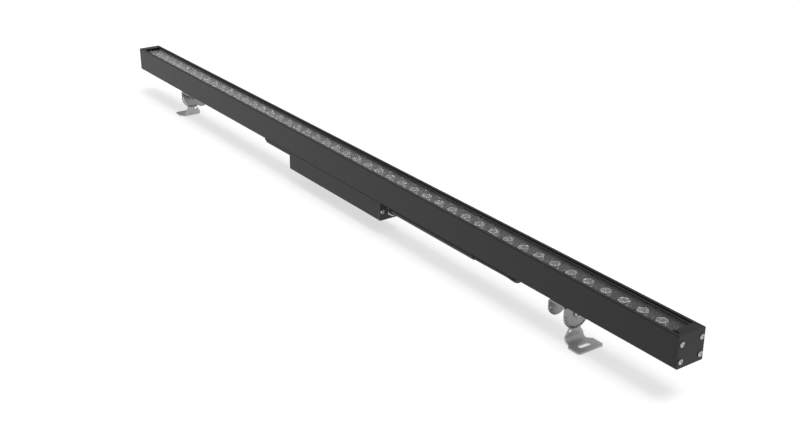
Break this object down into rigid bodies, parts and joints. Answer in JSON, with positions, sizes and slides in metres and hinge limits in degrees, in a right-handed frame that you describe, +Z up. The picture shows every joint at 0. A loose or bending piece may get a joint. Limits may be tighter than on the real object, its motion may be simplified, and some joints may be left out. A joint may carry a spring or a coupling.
{
  "type": "outdoor wall washer light",
  "caption": "Slim extruded bar light with a glass front over a row of lensed LEDs, a driver box under it, and tilting slotted feet on protractor brackets.",
  "frame": {"origin": "on the ground, under the middle of the bar", "axes": "+X along the bar to the right, -Y towards the front face, +Z up, out of the glass"},
  "size_m": [1.203, 0.035, 0.0795],
  "materials": {
    "anthracite_coat": "fine matte powder coat",
    "dark_end": "matte",
    "stainless": "satin",
    "clear_glass": "clear",
    "black_rubber": "matte",
    "board_black": "black solder mask on an aluminium core",
    "led_chip": "phosphor",
    "clear_lens": "clear moulding",
    "wire_red": "satin",
    "module_case": "satin",
    "nickel": "nickel plated",
    "black_plastic": "moulded",
    "lead_jacket": "satin"
  },
  "bodies": {
    "bar": {"housing_profile": "anthracite_coat", "end_plate_left": "anthracite_coat", "end_plate_right": "anthracite_coat", "end_gasket_left": "black_rubber", "end_gasket_right": "black_rubber", "end_screws_left": "stainless", "end_screws_right": "stainless", "front_glass": "clear_glass", "glass_seal": "black_rubber", "led_board_1": "board_black", "led_board_2": "board_black", "led_board_3": "board_black", "led_board_4": "board_black", "led_chips_1": "led_chip", "led_chips_2": "led_chip", "led_chips_3": "led_chip", "led_chips_4": "led_chip", "lens_strip_1": "clear_lens", "lens_strip_2": "clear_lens", "lens_strip_3": "clear_lens", "lens_strip_4": "clear_lens", "board_screws": "stainless", "board_wiring": "wire_red", "wire_grommet": "black_rubber", "driver_box": "anthracite_coat", "driver_box_end_left": "anthracite_coat", "driver_box_end_right": "dark_end", "driver_box_gasket_left": "black_rubber", "driver_box_gasket_right": "black_rubber", "driver_box_screws_left": "stainless", "driver_box_screws_right": "stainless", "box_fixing_screws": "stainless", "box_slot_nuts": "stainless", "driver_module": "module_case", "output_gland_body": "nickel", "output_gland_cap": "black_plastic", "output_gland_seal": "black_rubber", "inlet_gland_body": "nickel", "inlet_gland_cap": "black_plastic", "inlet_gland_seal": "black_rubber", "gland_lock_nuts": "nickel", "output_lead": "lead_jacket", "lead_sleeve": "black_plastic", "lead_grommet": "black_rubber", "bracket_left": "stainless", "bracket_right": "stainless", "bracket_screw_left": "stainless", "bracket_screw_right": "stainless", "slot_nut_left": "stainless", "slot_nut_right": "stainless"},
    "left_foot": {"foot_left": "stainless", "pivot_bolt_left": "stainless", "pivot_washer_left": "stainless", "pivot_nut_left": "stainless"},
    "right_foot": {"foot_right": "stainless", "pivot_bolt_right": "stainless", "pivot_washer_right": "stainless", "pivot_nut_right": "stainless"}
  },
  "joints": [
    {"name": "tilt_left", "type": "hinge", "parent": "bar", "child": "left_foot", "pos_m": [-0.446, 0, 0.033], "axis": [1, 0, 0], "range_deg": [-90, 90]},
    {"name": "tilt_right", "type": "hinge", "parent": "bar", "child": "right_foot", "pos_m": [0.448, 0, 0.033], "axis": [1, 0, 0], "range_deg": [-90, 90]}
  ]
}
